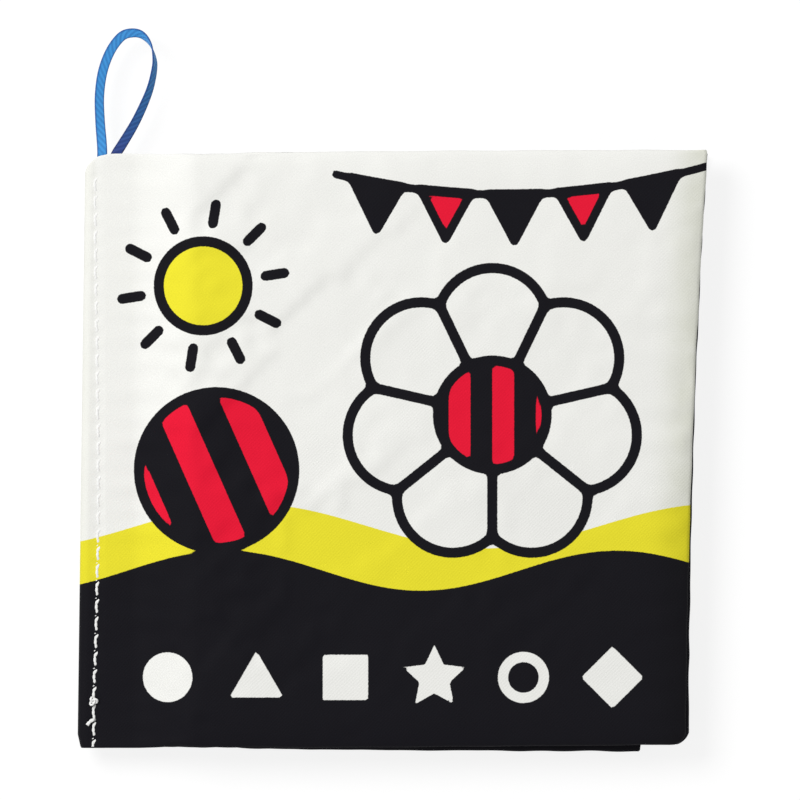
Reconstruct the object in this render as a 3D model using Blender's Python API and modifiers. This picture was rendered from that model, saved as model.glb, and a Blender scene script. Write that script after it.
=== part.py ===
"""A closed cloth book for a baby: four padded leaves sewn together beside a folded spine.

The book lies on its back cover. +Z is up, out of the front cover, +X runs from the spine to
the fore edge and +Y to the top of the page, where the hang loop stands out. The origin is on
the underside of the back cover, under the middle of the page.
"""

import math
from dataclasses import dataclass

import bmesh
import bpy
from mathutils import Vector

# Page and leaves. A fore edge leans, its top further out than its bottom, and is drawn in
# hollow halfway up.
SPINE_FOLD_X = -0.0685
PAGE_TOP_Y = 0.0669
PAGE_BOTTOM_Y = -0.0671
LEAF_THICKNESS = 0.0036
COVER_CROWN = 0.0006
EDGE_ROLL = 0.0080
FORE_EDGE_X = 0.0692
FORE_LEAN = 0.0025
FORE_HOLLOW = 0.0010
CORNER_RADIUS = 0.0040
SHARP_CORNER_RADIUS = 0.0010

# How the leaves' outlines differ, as hand-cut cloth does
BACK_COVER_SHORT = 0.0004
SECOND_LEAF_SHORT = 0.0060
SECOND_LEAF_LEAN = 0.0060
SECOND_LEAF_HOLLOW = 0.0003
COVER_TOP_RISE = 0.0009
PAGE_TOP_RISE = 0.0003
BOTTOM_RISE = 0.0007
SECOND_LEAF_BOTTOM_RISE = -0.0008

# Cloth, film, tape and threads
CLOTH = 0.00025
FILM = 0.0001
TAPE = 0.00035
TAPE_WIDTH = 0.0024
EDGE_THREAD_RADIUS = 0.00015
SPINE_THREAD_RADIUS = 0.0003
CLEARANCE = 0.0003

# Spine seam, and the hinge lines a little above and below it
FLANGE_WIDTH = 0.0051
FLANGE_TOP_DROP = 0.0012
INNER_FOLD_RADIUS = 0.0001
HINGE_STANDOFF = 0.0005
STITCH_LINE_INSET = 0.0036
STITCH_LENGTH = 0.0040
STITCH_ARCH = 0.00025
STITCH_END_INSET = 0.0010
STITCH_POINT_SHARES = (0.0, 0.3, 0.7)
FOLD_ARC_STEPS = 4

# Leaves beside the spine: a flat tab, then a rise to the full thickness
TAB_LENGTH = 0.0060
RISE_LENGTH = 0.0150
RISE_SHARES = (0.0, 0.17, 0.33, 0.5, 0.67, 0.83, 1.0)
INNER_COLUMN_SHARES = (0.25, 0.5, 0.75)
INNER_ROW_SHARES = (0.25, 0.5, 0.75)

# The band along a leaf's open edges where its cloth is shaped, and what lies inside it
RIM_WIDTH = 0.0100
RIM_STEP_SHARES = (0.0, 0.08, 0.24, 0.5, 1.0)
EDGE_THREAD_INSET = 0.0010
PADDING_SKIPS_RISES = 5
PADDING_SKIPS_RIMS = 3

# Hang loop, above the top edge of the page
LOOP_FROM_SPINE = 0.0041
LOOP_WIDTH = 0.0124
LOOP_HEIGHT = 0.0267
LOOP_TUCK = 0.0046
LOOP_STEPS = 4
# Each row: share of the loop's width, share of its height, share of half a turn of twist
LOOP_ROUTE_SHARES = (
    (0.05, 0.00, 0.00),
    (0.01, 0.27, 0.10),
    (0.00, 0.48, 0.12),
    (0.06, 0.68, 0.10),
    (0.20, 0.85, 0.10),
    (0.40, 0.97, 0.18),
    (0.60, 1.00, 0.27),
    (0.78, 0.98, 0.34),
    (0.93, 0.90, 0.44),
    (1.00, 0.78, 0.56),
    (0.99, 0.68, 0.65),
    (0.92, 0.54, 0.73),
    (0.80, 0.40, 0.79),
    (0.63, 0.24, 0.85),
    (0.42, 0.08, 0.95),
    (0.30, 0.00, 1.00),
)

HALF = 0.5
GRID_UNIT = 1.0
INWARD = -1.0


@dataclass
class Leaf:
    """The outline of one leaf, by its open edges."""

    name: str
    fore_x: float
    fore_lean: float
    fore_hollow: float
    top_rise: float
    bottom_rise: float
    top_corner: float
    bottom_corner: float
    tab_gap: float
    crown: float


LEAVES = (
    Leaf(
        "back_cover", FORE_EDGE_X - BACK_COVER_SHORT, FORE_LEAN, FORE_HOLLOW, PAGE_TOP_RISE,
        BOTTOM_RISE, SHARP_CORNER_RADIUS, CORNER_RADIUS, CLEARANCE, 0.0,
    ),
    Leaf(
        "second_leaf", FORE_EDGE_X - SECOND_LEAF_SHORT, SECOND_LEAF_LEAN, SECOND_LEAF_HOLLOW,
        PAGE_TOP_RISE, SECOND_LEAF_BOTTOM_RISE, SHARP_CORNER_RADIUS, SHARP_CORNER_RADIUS, CLEARANCE, 0.0,
    ),
    Leaf(
        "first_leaf", FORE_EDGE_X, FORE_LEAN, FORE_HOLLOW, PAGE_TOP_RISE,
        BOTTOM_RISE, SHARP_CORNER_RADIUS, CORNER_RADIUS, TAPE + 2 * CLEARANCE, 0.0,
    ),
    Leaf(
        "front_cover", FORE_EDGE_X, FORE_LEAN, FORE_HOLLOW, COVER_TOP_RISE,
        BOTTOM_RISE, SHARP_CORNER_RADIUS, CORNER_RADIUS, CLEARANCE, COVER_CROWN,
    ),
)
BACK_COVER, SECOND_LEAF, FIRST_LEAF, FRONT_COVER = range(len(LEAVES))

# Worked out from the sizes above
FLANGE_END_X = SPINE_FOLD_X + FLANGE_WIDTH
HINGE_X = FLANGE_END_X + CLEARANCE * HALF
TAB_START_X = FLANGE_END_X + CLEARANCE
RISE_START_X = TAB_START_X + TAB_LENGTH
RISE_END_X = RISE_START_X + RISE_LENGTH
LEAF_PITCH = LEAF_THICKNESS + CLEARANCE
LAYER_PITCH = CLOTH + CLEARANCE
STACK_MIDDLE_Z = (len(LEAVES) * LEAF_PITCH - CLEARANCE) * HALF
FLANGE_TOP_Y = PAGE_TOP_Y - FLANGE_TOP_DROP
STITCH_X = SPINE_FOLD_X + STITCH_LINE_INSET
LOOP_LEFT_X = SPINE_FOLD_X + LOOP_FROM_SPINE


def tab_thickness(leaf):
    return leaf.tab_gap + 2 * CLOTH


FLANGE_HEIGHT = sum(tab_thickness(leaf) + CLEARANCE for leaf in LEAVES) - CLEARANCE
FLANGE_BOTTOM_Z = STACK_MIDDLE_Z - FLANGE_HEIGHT * HALF
FLANGE_TOP_Z = STACK_MIDDLE_Z + FLANGE_HEIGHT * HALF
LOWER_HINGE = Vector((HINGE_X, 0, FLANGE_BOTTOM_Z - HINGE_STANDOFF))
UPPER_HINGE = Vector((HINGE_X, 0, FLANGE_TOP_Z + HINGE_STANDOFF))


def tab_middle(index):
    """Height of a leaf's middle where it is pressed flat beside the spine seam."""
    below = sum(tab_thickness(leaf) + CLEARANCE for leaf in LEAVES[:index])
    return FLANGE_BOTTOM_Z + below + tab_thickness(LEAVES[index]) * HALF


def full_middle(index):
    """Height of a leaf's middle where it has its full thickness."""
    return index * LEAF_PITCH + LEAF_THICKNESS * HALF


def smooth(share):
    """A soft step from 0 to 1."""
    share = min(max(share, 0.0), 1.0)
    return share * share * (3 - 2 * share)


def roll(distance):
    """How much of its fullness the cloth has, this far in from a sewn edge."""
    short = 1 - min(distance / EDGE_ROLL, 1.0)
    return math.sqrt(1 - short * short)


@dataclass
class Column:
    """A line of places up a leaf, by how far across the leaf it runs."""

    past_tab_start: float
    rest_share: float
    from_fore_edge: float


@dataclass
class Row:
    """A line of places across a leaf, by how far up the leaf it runs."""

    inner_share: float
    from_edge: float
    side: int


@dataclass
class Spot:
    """A place on a leaf seen from above."""

    x: float
    y: float
    rise: float
    fullness: float
    dome: float


def leaf_columns():
    columns = [Column(0.0, 0.0, RIM_WIDTH)]
    rise_end = TAB_LENGTH + RISE_LENGTH
    for share in RISE_SHARES:
        columns.append(Column(TAB_LENGTH + share * RISE_LENGTH, 0.0, RIM_WIDTH))
    for share in INNER_COLUMN_SHARES:
        columns.append(Column(rise_end, share, RIM_WIDTH))
    for share in reversed(RIM_STEP_SHARES):
        columns.append(Column(rise_end, 1.0, share * RIM_WIDTH))
    return columns


def leaf_rows():
    rows = [Row(0.0, share * RIM_WIDTH, -1) for share in RIM_STEP_SHARES]
    rows += [Row(share, RIM_WIDTH, 0) for share in INNER_ROW_SHARES]
    rows += [Row(1.0, share * RIM_WIDTH, 1) for share in reversed(RIM_STEP_SHARES)]
    return rows


def drawn_round(x_in, y_in, radius):
    """Distances in from two edges that meet in a corner, drawn onto the corner's arc."""
    if x_in >= radius or y_in >= radius:
        return x_in, y_in
    along = radius - x_in
    across = radius - y_in
    reach = max(along, across) / math.hypot(along, across)
    return radius - along * reach, radius - across * reach


def spot(leaf, column, row):
    """Where a column and a row of a leaf cross."""
    page_height = PAGE_TOP_Y - PAGE_BOTTOM_Y
    inner_height = page_height - 2 * RIM_WIDTH
    up = {
        -1: row.from_edge,
        0: RIM_WIDTH + row.inner_share * inner_height,
        1: page_height - row.from_edge,
    }[row.side]
    level = 2 * up / page_height - 1
    fore_x = leaf.fore_x + leaf.fore_lean * level + leaf.fore_hollow * level * level
    x_in = column.from_fore_edge
    y_in = row.from_edge
    if column.rest_share == 1.0 and row.side:
        corner = leaf.top_corner if row.side > 0 else leaf.bottom_corner
        x_in, y_in = drawn_round(x_in, y_in, corner)
    if column.rest_share == 0.0:
        x = TAB_START_X + column.past_tab_start
    elif column.rest_share < 1.0:
        x = RISE_END_X + column.rest_share * (fore_x - RIM_WIDTH - RISE_END_X)
    else:
        x = fore_x - x_in
    out = (x - TAB_START_X) / (leaf.fore_x - TAB_START_X)
    top = PAGE_TOP_Y + leaf.top_rise * out
    bottom = PAGE_BOTTOM_Y + leaf.bottom_rise * out
    if row.side < 0:
        y = bottom + y_in
    elif row.side > 0:
        y = top - y_in
    else:
        y = bottom + RIM_WIDTH + row.inner_share * (top - bottom - 2 * RIM_WIDTH)
    rise = smooth((x - RISE_START_X) / RISE_LENGTH)
    fullness = rise * roll(column.from_fore_edge) * roll(row.from_edge)
    dome = rise * smooth(2 * (1 - out)) * (1 - level * level)
    return Spot(x, y, rise, fullness, dome)


def middle(index, here):
    """Height of a leaf's middle."""
    return tab_middle(index) + here.rise * (full_middle(index) - tab_middle(index))


def face_height(index, here, upper, depth):
    """Height of the face that lies this deep under the leaf's upper or lower outer face."""
    leaf = LEAVES[index]
    pressed = tab_thickness(leaf) * HALF
    reach = pressed + here.fullness * (LEAF_THICKNESS * HALF - pressed) - depth
    if upper:
        return middle(index, here) + reach + leaf.crown * here.dome
    return middle(index, here) - reach


def make_material(name, colour, roughness):
    material = bpy.data.materials.new(name)
    material.use_nodes = True
    shader = material.node_tree.nodes["Principled BSDF"]
    shader.inputs["Base Color"].default_value = (*colour, 1)
    shader.inputs["Roughness"].default_value = roughness
    shader.inputs["Metallic"].default_value = 0.0
    return material


def make_pivot(name, place, parent):
    """An empty on a hinge line; what turns about that line is parented to it."""
    pivot = bpy.data.objects.new(name, None)
    pivot.location = place - (pivot_places[parent.name] if parent else Vector())
    pivot.parent = parent
    pivot_places[name] = place
    parts.objects.link(pivot)
    return pivot


def add_object(name, data, material, pivot):
    piece = bpy.data.objects.new(name, data)
    piece.data.materials.append(material)
    piece.parent = pivot
    piece.location = -pivot_places[pivot.name]
    parts.objects.link(piece)
    return piece


def add_grid(mesh, columns, rows, place):
    """A grid of faces, each corner set by its column and row."""
    made = bmesh.ops.create_grid(
        mesh, x_segments=len(columns) - 1, y_segments=len(rows) - 1, size=GRID_UNIT
    )
    for vertex in made["verts"]:
        column = round((vertex.co.x / GRID_UNIT + 1) * HALF * (len(columns) - 1))
        row = round((vertex.co.y / GRID_UNIT + 1) * HALF * (len(rows) - 1))
        vertex.co = place(columns[column], rows[row])
    return made["verts"]


def finish_mesh(mesh, name):
    data = bpy.data.meshes.new(name)
    mesh.to_mesh(data)
    mesh.free()
    data.shade_smooth()
    return data


def add_sheet(name, index, upper, depth, thickness, columns, rows, material):
    """A cloth or film of even thickness that follows a leaf's upper or lower face."""
    leaf = LEAVES[index]

    def place(column, row):
        here = spot(leaf, column, row)
        return here.x, here.y, face_height(index, here, upper, depth)

    mesh = bmesh.new()
    add_grid(mesh, columns, rows, place)
    if not upper:
        bmesh.ops.reverse_faces(mesh, faces=mesh.faces)
    piece = add_object(name, finish_mesh(mesh, name), material, pivots[index])
    wall = piece.modifiers.new("Thickness", "SOLIDIFY")
    wall.thickness = thickness
    wall.offset = INWARD


def add_cloth(name, index, upper, material):
    add_sheet(name, index, upper, 0.0, CLOTH, leaf_columns(), leaf_rows(), material)


def padding_columns():
    columns = leaf_columns()
    return columns[PADDING_SKIPS_RISES : len(columns) - PADDING_SKIPS_RIMS]


def padding_rows():
    rows = leaf_rows()
    return rows[PADDING_SKIPS_RIMS : len(rows) - PADDING_SKIPS_RIMS]


def add_crinkle_film(index, upper):
    """The rustling film that a cover holds between its outer cloth and its padding."""
    name = LEAVES[index].name + "_crinkle_film"
    add_sheet(name, index, upper, LAYER_PITCH, FILM, padding_columns(), padding_rows(), film_clear)


def add_padding(index, film_above, film_below):
    """The batting between a leaf's two cloths."""
    leaf = LEAVES[index]
    name = leaf.name + "_padding"
    mesh = bmesh.new()
    lower_faces = []
    for upper, has_film in ((False, film_below), (True, film_above)):
        depth = LAYER_PITCH + (FILM + CLEARANCE if has_film else 0.0)

        def place(column, row, upper=upper, depth=depth):
            here = spot(leaf, column, row)
            return here.x, here.y, face_height(index, here, upper, depth)

        add_grid(mesh, padding_columns(), padding_rows(), place)
        if not upper:
            lower_faces = list(mesh.faces)
    bmesh.ops.reverse_faces(mesh, faces=lower_faces)
    rims = [edge for edge in mesh.edges if edge.is_boundary]
    bmesh.ops.bridge_loops(mesh, edges=rims)
    bmesh.ops.recalc_face_normals(mesh, faces=mesh.faces)
    add_object(name, finish_mesh(mesh, name), batting_white, pivots[index])


def add_thread(name, points, radius, resolution, pivot):
    line = bpy.data.curves.new(name, "CURVE")
    line.dimensions = "3D"
    line.bevel_depth = radius
    line.bevel_resolution = resolution
    line.use_fill_caps = True
    route = line.splines.new("POLY")
    route.points.add(len(points) - 1)
    for point, place in zip(route.points, points):
        point.co = (*place, 1)
    add_object(name, line, thread_white, pivot)


def add_edge_thread(index):
    """The seam thread inside the three open edges of a leaf."""
    leaf = LEAVES[index]
    columns = leaf_columns()
    rows = leaf_rows()
    along = columns[1 : len(columns) - PADDING_SKIPS_RIMS]
    fore = Column(TAB_LENGTH + RISE_LENGTH, 1.0, EDGE_THREAD_INSET)
    low = Row(0.0, EDGE_THREAD_INSET, -1)
    high = Row(1.0, EDGE_THREAD_INSET, 1)
    crossings = [(column, low) for column in along]
    crossings.append((fore, low))
    for row in rows[PADDING_SKIPS_RIMS : len(rows) - PADDING_SKIPS_RIMS]:
        crossings.append((fore, row))
    crossings.append((fore, high))
    crossings += [(column, high) for column in reversed(along)]
    points = []
    for column, row in crossings:
        here = spot(leaf, column, row)
        points.append((here.x, here.y, middle(index, here)))
    add_thread(leaf.name + "_edge_thread", points, EDGE_THREAD_RADIUS, 0, pivots[index])


def fold_side(fold_x, below, above, radius):
    """From the open end below, round the fold, to the open end above, as (x, z)."""
    centre_x = fold_x + radius
    quarter = math.pi * HALF
    points = [(FLANGE_END_X, below)]
    for step in range(FOLD_ARC_STEPS + 1):
        angle = -quarter * (1 + step / FOLD_ARC_STEPS)
        points.append((centre_x + radius * math.cos(angle), below + radius + radius * math.sin(angle)))
    for step in range(FOLD_ARC_STEPS + 1):
        angle = quarter * (2 - step / FOLD_ARC_STEPS)
        points.append((centre_x + radius * math.cos(angle), above - radius + radius * math.sin(angle)))
    points.append((FLANGE_END_X, above))
    return points


def add_spine_fold(name, layers_out, below, above, material):
    """One cloth folded round the spine, with this many cloths outside it."""
    inset = layers_out * LAYER_PITCH
    layers = 2 * (FRONT_COVER - FIRST_LEAF) + 2
    radius = INNER_FOLD_RADIUS + (layers - layers_out) * LAYER_PITCH - CLEARANCE
    outer = fold_side(SPINE_FOLD_X + inset, below, above, radius)
    inner = fold_side(SPINE_FOLD_X + inset + CLOTH, below + CLOTH, above - CLOTH, radius - CLOTH)
    outline = outer + inner[::-1]
    line = bpy.data.curves.new(name, "CURVE")
    line.dimensions = "2D"
    line.fill_mode = "BOTH"
    line.extrude = (FLANGE_TOP_Y - PAGE_BOTTOM_Y) * HALF
    route = line.splines.new("POLY")
    route.use_cyclic_u = True
    route.points.add(len(outline) - 1)
    for point, (x, z) in zip(route.points, outline):
        point.co = (x, z, 0, 1)
    piece = add_object(name, line, material, pivots[FIRST_LEAF])
    piece.location.y += (FLANGE_TOP_Y + PAGE_BOTTOM_Y) * HALF
    piece.rotation_euler.x = math.pi * HALF


def add_spine_folds():
    lowest = tab_middle(BACK_COVER) - tab_thickness(LEAVES[BACK_COVER]) * HALF
    highest = tab_middle(FRONT_COVER) + tab_thickness(LEAVES[FRONT_COVER]) * HALF
    cover_in = CLOTH + CLEARANCE
    add_spine_fold("cover_outer_spine_fold", 0, lowest, highest, cover_cloth)
    add_spine_fold("cover_lining_spine_fold", 1, lowest + cover_in, highest - cover_in, page_cloth)
    low_page = tab_middle(SECOND_LEAF) - tab_thickness(LEAVES[SECOND_LEAF]) * HALF
    high_page = tab_middle(FIRST_LEAF) + tab_thickness(LEAVES[FIRST_LEAF]) * HALF
    add_spine_fold("pages_outer_spine_fold", 2, low_page, high_page, page_cloth)
    low_page += CLOTH + LEAVES[SECOND_LEAF].tab_gap
    high_page -= CLOTH + LEAVES[FIRST_LEAF].tab_gap
    add_spine_fold("pages_inner_spine_fold", 3, low_page, high_page, page_cloth)


def add_spine_stitching(name, upper):
    """The thread on one face of the spine seam, arched between its needle holes."""
    start_y = PAGE_BOTTOM_Y + STITCH_END_INSET
    length = FLANGE_TOP_Y - STITCH_END_INSET - start_y
    count = round(length / STITCH_LENGTH)
    pitch = length / count
    seat = CLEARANCE + SPINE_THREAD_RADIUS
    shares = [stitch + share for stitch in range(count) for share in STITCH_POINT_SHARES]
    points = []
    for share in [*shares, count]:
        lift = seat + STITCH_ARCH * abs(math.sin(math.pi * share))
        z = FLANGE_TOP_Z + lift if upper else FLANGE_BOTTOM_Z - lift
        points.append((STITCH_X, start_y + share * pitch, z))
    add_thread(name, points, SPINE_THREAD_RADIUS, 1, pivots[FIRST_LEAF])


def between(a, b, c, d, share):
    """A point on the smooth curve through four points, between the middle two."""
    return tuple(
        HALF * (
            2 * q
            + (r - p) * share
            + (2 * p - 5 * q + 4 * r - s) * share ** 2
            + (3 * q - p - 3 * r + s) * share ** 3
        )
        for p, q, r, s in zip(a, b, c, d)
    )


def loop_route():
    """The middle of the tape as (x, y, share of half a turn), from foot to foot."""
    foot_y = PAGE_TOP_Y - LOOP_TUCK
    route = [(LOOP_LEFT_X, foot_y, 0.0)]
    for across, up, turn in LOOP_ROUTE_SHARES:
        route.append((LOOP_LEFT_X + across * LOOP_WIDTH, PAGE_TOP_Y + up * LOOP_HEIGHT, turn))
    route.append((LOOP_LEFT_X + TAPE_WIDTH + 2 * CLEARANCE, foot_y, 1.0))
    ends_doubled = [route[0], *route, route[-1]]
    points = []
    for index in range(len(route) - 1):
        for step in range(LOOP_STEPS):
            points.append(between(*ends_doubled[index : index + 4], step / LOOP_STEPS))
    return [*points, route[-1]]


def add_hang_loop():
    """A flat woven tape, with half a turn of twist, sewn into the first leaf's top seam."""
    points = loop_route()
    line = bpy.data.curves.new("hang_loop", "CURVE")
    line.dimensions = "3D"
    line.twist_mode = "Z_UP"
    line.bevel_depth = TAPE * HALF
    line.bevel_resolution = 0
    line.extrude = (TAPE_WIDTH - TAPE) * HALF
    line.use_fill_caps = True
    strand = line.splines.new("POLY")
    strand.points.add(len(points) - 1)
    for point, (x, y, turn) in zip(strand.points, points):
        point.co = (x, y, tab_middle(FIRST_LEAF), 1)
        point.tilt = math.pi * (HALF + turn)
    add_object("hang_loop", line, tape_blue, pivots[FIRST_LEAF])


for old in list(bpy.data.objects):
    bpy.data.objects.remove(old, do_unlink=True)

parts = bpy.data.collections.new("Cloth book")
bpy.context.scene.collection.children.link(parts)

cover_cloth = make_material("Printed cover cloth", (0.82, 0.82, 0.79), 0.85)
page_cloth = make_material("Printed page cloth", (0.80, 0.76, 0.70), 0.85)
batting_white = make_material("Polyester batting", (0.90, 0.90, 0.88), 0.95)
film_clear = make_material("Crinkle film", (0.75, 0.78, 0.80), 0.25)
thread_white = make_material("Sewing thread", (0.85, 0.85, 0.84), 0.70)
tape_blue = make_material("Woven tape", (0.08, 0.30, 0.68), 0.75)

pivot_places = {}
rest_pivot = make_pivot("back_cover_rest", Vector(), None)
second_pivot = make_pivot("second_leaf_hinge", LOWER_HINGE, rest_pivot)
first_pivot = make_pivot("first_leaf_hinge", LOWER_HINGE, second_pivot)
cover_pivot = make_pivot("front_cover_hinge", UPPER_HINGE, first_pivot)
pivots = (rest_pivot, second_pivot, first_pivot, cover_pivot)

add_cloth("back_cover_outer_cloth", BACK_COVER, False, cover_cloth)
add_cloth("back_cover_inner_cloth", BACK_COVER, True, page_cloth)
add_cloth("second_leaf_back_cloth", SECOND_LEAF, False, page_cloth)
add_cloth("second_leaf_front_cloth", SECOND_LEAF, True, page_cloth)
add_cloth("first_leaf_back_cloth", FIRST_LEAF, False, page_cloth)
add_cloth("first_leaf_front_cloth", FIRST_LEAF, True, page_cloth)
add_cloth("front_cover_inner_cloth", FRONT_COVER, False, page_cloth)
add_cloth("front_cover_outer_cloth", FRONT_COVER, True, cover_cloth)

add_padding(BACK_COVER, False, True)
add_padding(SECOND_LEAF, False, False)
add_padding(FIRST_LEAF, False, False)
add_padding(FRONT_COVER, True, False)
add_crinkle_film(BACK_COVER, False)
add_crinkle_film(FRONT_COVER, True)

for leaf_index in range(len(LEAVES)):
    add_edge_thread(leaf_index)

add_spine_folds()
add_spine_stitching("spine_stitching_front", True)
add_spine_stitching("spine_stitching_back", False)
add_hang_loop()
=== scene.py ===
"""Looks of a closed cloth book for a baby: printed padded leaves, a sewn spine and a hang loop."""

import math
from dataclasses import dataclass

import bpy
import numpy as np
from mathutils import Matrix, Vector
from mathutils.kdtree import KDTree


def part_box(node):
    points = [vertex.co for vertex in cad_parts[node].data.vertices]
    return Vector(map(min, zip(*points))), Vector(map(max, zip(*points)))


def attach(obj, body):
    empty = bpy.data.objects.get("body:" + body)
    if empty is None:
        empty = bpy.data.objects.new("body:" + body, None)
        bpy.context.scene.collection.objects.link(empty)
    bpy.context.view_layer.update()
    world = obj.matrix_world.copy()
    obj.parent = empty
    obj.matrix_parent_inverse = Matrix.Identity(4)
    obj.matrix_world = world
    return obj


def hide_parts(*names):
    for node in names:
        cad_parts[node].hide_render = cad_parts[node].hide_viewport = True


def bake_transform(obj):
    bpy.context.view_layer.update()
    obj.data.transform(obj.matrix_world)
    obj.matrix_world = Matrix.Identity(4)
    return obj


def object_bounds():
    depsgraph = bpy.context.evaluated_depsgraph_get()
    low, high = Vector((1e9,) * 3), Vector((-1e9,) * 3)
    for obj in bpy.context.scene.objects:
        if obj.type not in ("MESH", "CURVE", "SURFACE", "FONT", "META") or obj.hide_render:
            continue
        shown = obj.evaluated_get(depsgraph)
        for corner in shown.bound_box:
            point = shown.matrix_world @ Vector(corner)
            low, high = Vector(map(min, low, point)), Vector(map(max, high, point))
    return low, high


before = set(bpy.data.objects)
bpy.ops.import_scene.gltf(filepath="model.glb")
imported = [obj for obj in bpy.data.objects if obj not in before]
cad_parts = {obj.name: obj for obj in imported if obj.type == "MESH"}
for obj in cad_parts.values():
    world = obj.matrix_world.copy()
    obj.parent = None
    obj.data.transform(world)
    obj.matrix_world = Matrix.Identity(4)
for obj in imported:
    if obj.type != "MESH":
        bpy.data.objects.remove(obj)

cad_low, cad_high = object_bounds()

MM = 0.001
HALF = 0.5
TINY = 1e-9

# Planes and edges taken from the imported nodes
outer_fold_low, outer_fold_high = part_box("cover_outer_spine_fold")
lining_fold_low, lining_fold_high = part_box("cover_lining_spine_fold")
pages_fold_low, pages_fold_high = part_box("pages_outer_spine_fold")
inner_fold_low, inner_fold_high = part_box("pages_inner_spine_fold")
SPINE_X = outer_fold_low.x
FLANGE_END_X = outer_fold_high.x
PAGE_LOW_Y = outer_fold_low.y
FLANGE_TOP_Y = outer_fold_high.y

# Leaves, as the frame has them
CLOTH = 0.25 * MM
CLEARANCE = 0.3 * MM
LEAF_THICKNESS = 3.6 * MM
LEAF_PITCH = LEAF_THICKNESS + CLEARANCE
PAGE_TOP_Y = 66.9 * MM
COVER_CROWN = 0.6 * MM
TAB_START_X = FLANGE_END_X + CLEARANCE
TAB_LENGTH = 6.0 * MM
RISE_LENGTH = 15.0 * MM
RISE_START_X = TAB_START_X + TAB_LENGTH
HINGE_X = FLANGE_END_X + CLEARANCE * HALF
EDGE_ROLL = 8.0 * MM
SHARP_CORNER = 1.0 * MM
SOFT_CORNER = 4.0 * MM

# The sewn edge: how far its lips are rounded, and how far and how near the edge the seam draws in
LIP = 0.7 * MM
SEAM_INSET = 0.3 * MM
SEAM_MOUTH = 0.12 * MM

# Spine: how it leans, its rounded top corner, and the zones that bend when a leaf opens
SPINE_LEAN = 0.85 * MM
SPINE_LEAN_REACH = 3.0 * MM
SPINE_CORNER_WIDTH = 8.0 * MM
SPINE_CORNER_DROP = 4.1 * MM
SPINE_FOOT_INSET = 0.75 * MM
SPINE_FOOT_HEIGHT = 3.2 * MM
BEND = 1.0 * MM
BEND_STEPS = 9
FOLD_RADIUS = 2.0 * MM
FOLD_STEPS = 15
ARM_STEPS = 10

# The seam beside the spine, as (x, y) in millimetres from the bottom up, and its stitches
SEAM_ROUTE = (
    (-65.75, -68), (-65.65, -56), (-65.20, -43), (-64.90, -29), (-64.60, -16),
    (-64.65, 4), (-64.95, 24), (-65.25, 42), (-65.45, 67),
)
STITCH_PITCH = 3.95 * MM
STITCH_START_Y = -64.9 * MM
SEAM_DIP = 0.24 * MM
SEAM_DIP_WIDTH = 1.3 * MM
SEAM_DIP_BETWEEN = 0.35
SEAM_DIP_LEAST_LEVEL = 0.9

# The cage that is simulated, and how finely each of its gaps is divided afterwards
CAGE_STEP = 3.1 * MM
TAB_COLUMNS = 4
RIM_STEPS = np.array([0.0, 0.35, 1.2, 2.8, 5.2, 8.0]) * MM
COVER_PARTS = 4
LEAF_PARTS = 3
NEAR_END = 1.3 * MM
NEAR_STEP = 0.25 * MM
NEAR_GAP = 0.1 * MM
LEAST_THICKNESS = 0.05 * MM
MOST_SUNK = 0.40 * MM

# Hang loop of woven tape, along the same route as its CAD node: each row is a share of the
# loop's width, a share of its height and a share of half a turn of twist
LOOP_FROM_SPINE = 4.1 * MM
LOOP_WIDTH = 12.4 * MM
LOOP_HEIGHT = 27.1 * MM
LOOP_TUCK = 4.6 * MM
LOOP_STEPS = 12
LOOP_ROUTE_SHARES = (
    (0.05, 0.00, 0.00), (0.01, 0.27, 0.10), (0.00, 0.48, 0.12), (0.06, 0.68, 0.10),
    (0.20, 0.85, 0.10), (0.40, 0.97, 0.11), (0.60, 1.00, 0.15), (0.78, 0.98, 0.26),
    (0.93, 0.90, 0.44), (1.00, 0.78, 0.61), (0.99, 0.68, 0.68), (0.92, 0.54, 0.73),
    (0.80, 0.40, 0.79), (0.63, 0.24, 0.85), (0.42, 0.08, 0.95), (0.31, 0.00, 1.00),
    (0.26, -0.06, 1.00),
)

# The tape's section: an oval drawn flat by these powers, with a bead along each selvedge
TAPE = 0.35 * MM
TAPE_WIDTH = 2.25 * MM
TAPE_SIDES = 24
TAPE_FLAT_POWER = 0.55
TAPE_SWELL_POWER = 0.6
BEAD_HEIGHT = 0.25
BEAD_PLACE = 0.86
BEAD_WIDTH = 0.1
# The tape's back face is darker by the least share all along; from this share of the tape's length on,
# painted shade darkens it further toward the second foot
TAPE_SHADE_FROM_SHARE = 0.58
TAPE_REVERSE_LEAST = 0.2

# Sewing thread of the spine: two plies
PLY_RADIUS = 0.26 * MM
PLY_OFFSET = 0.12 * MM
PLY_TURN = 2.2 * MM
PLY_PRESSED = 0.35
LOCK_SHARE = 0.65
CUT_END_SHARE = 1.15

# One stitch from its upper end to its lower one, and the lock of the other thread beside a needle
# hole, as (across from the seam, up from the lower hole, out of the cloth) in millimetres
STITCH_ROUTE = (
    (0.62, 3.84, -0.75), (0.48, 3.70, -0.47), (0.26, 3.44, -0.35), (0.04, 3.10, -0.26),
    (-0.06, 2.60, -0.21), (-0.05, 1.95, -0.20), (0.01, 1.45, -0.21), (0.10, 1.00, -0.29),
    (0.18, 0.70, -0.49), (0.23, 0.54, -0.85),
)
LOCK_ROUTE = (
    (-0.50, -0.16, -0.46), (-0.36, -0.04, -0.36), (-0.14, 0.10, -0.34), (0.06, 0.16, -0.41),
    (0.20, 0.14, -0.60),
)
STITCH_PARTS = 3
STITCH_END_GAP = 0.6 * MM
STITCH_SEED = 5

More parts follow.
